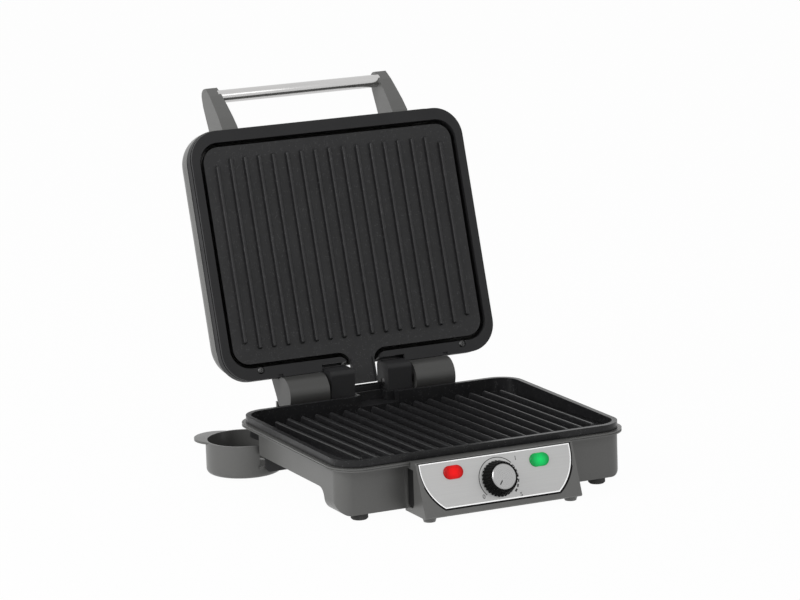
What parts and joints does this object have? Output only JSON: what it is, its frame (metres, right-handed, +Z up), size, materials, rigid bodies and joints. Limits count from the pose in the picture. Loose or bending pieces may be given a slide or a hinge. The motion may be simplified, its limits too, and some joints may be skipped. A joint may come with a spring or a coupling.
{
  "type": "electric contact grill",
  "caption": "Table-top electric contact grill with two ribbed non-stick plates, a hinged lid with a bar handle, a thermostat knob and a slide-out drip cup.",
  "frame": {"origin": "middle of the base, on the table plane that the feet stand on", "axes": "+Z up, -Y towards the user and the control panel, X along the hinge axis"},
  "size_m": [0.339, 0.4551, 0.3471],
  "materials": {
    "housing_plastic": "satin gunmetal moulding",
    "flange_plastic": "satin gunmetal moulding",
    "cover_plastic": "matt black moulding",
    "frame_plastic": "fine-grained black moulding",
    "nonstick_lower": "black non-stick coating on die-cast aluminium",
    "nonstick_upper": "black speckled non-stick coating on die-cast aluminium",
    "panel_metal": "brushed light silver",
    "knob_plastic": "gloss black",
    "knob_metal": "spun satin silver",
    "red_lens": "translucent red",
    "green_lens": "translucent green",
    "handle_metal": "finely brushed tube",
    "heater_metal": "oxidised sheath",
    "zinc_steel": "zinc plated",
    "dark_screw": "black plated",
    "shield_sheet": "mill finish sheet",
    "ceramic_body": "unglazed ceramic",
    "lamp_holder_plastic": "white moulding",
    "fuse_sleeve": "ceramic sleeve",
    "rubber_feet": "matt black rubber"
  },
  "bodies": {
    "base": {"base_housing": "housing_plastic", "base_flange": "flange_plastic", "base_bottom_cover": "cover_plastic", "control_box": "housing_plastic", "control_panel": "panel_metal", "thermostat_body": "ceramic_body", "thermostat_bracket": "zinc_steel", "power_lamp_lens": "red_lens", "ready_lamp_lens": "green_lens", "lamp_holders": "lamp_holder_plastic", "lower_plate": "nonstick_lower", "lower_heating_element": "heater_metal", "lower_element_clamps": "zinc_steel", "lower_heat_shield": "shield_sheet", "drain_spout": "nonstick_lower", "front_feet": "rubber_feet", "rear_feet": "rubber_feet", "hinge_post_left": "frame_plastic", "hinge_post_right": "frame_plastic", "hinge_pin_left": "zinc_steel", "hinge_pin_right": "zinc_steel", "terminal_block": "ceramic_body", "thermal_fuse": "fuse_sleeve", "cord_inlet_bush": "rubber_feet", "bottom_cover_screws": "zinc_steel"},
    "lid": {"lid_frame": "frame_plastic", "lid_shell": "housing_plastic", "upper_plate": "nonstick_upper", "upper_heating_element": "heater_metal", "upper_element_clamps": "zinc_steel", "upper_heat_shield": "shield_sheet", "hinge_arm_left": "housing_plastic", "hinge_arm_right": "housing_plastic", "hinge_cap_left": "housing_plastic", "hinge_cap_right": "housing_plastic", "lid_screws": "dark_screw", "handle_arm_left": "housing_plastic", "handle_arm_right": "housing_plastic", "handle_bar": "handle_metal", "handle_screws": "zinc_steel"},
    "knob": {"knob_skirt": "knob_plastic", "knob_cap": "knob_metal", "thermostat_shaft": "zinc_steel"},
    "cup": {"drip_cup": "housing_plastic"}
  },
  "joints": [
    {"name": "lid_hinge", "type": "hinge", "parent": "base", "child": "lid", "pos_m": [0, 0.11695, 0.0636], "axis": [1, 0, 0], "range_deg": [0, 107]},
    {"name": "knob_turn", "type": "hinge", "parent": "base", "child": "knob", "pos_m": [0, -0.16844, 0.02969], "axis": [0, 0.9272, -0.3746], "range_deg": [0, 265]},
    {"name": "cup_slide", "type": "slide", "parent": "base", "child": "cup", "axis": [-1, 0, 0], "range_m": [0, 0.08]}
  ]
}
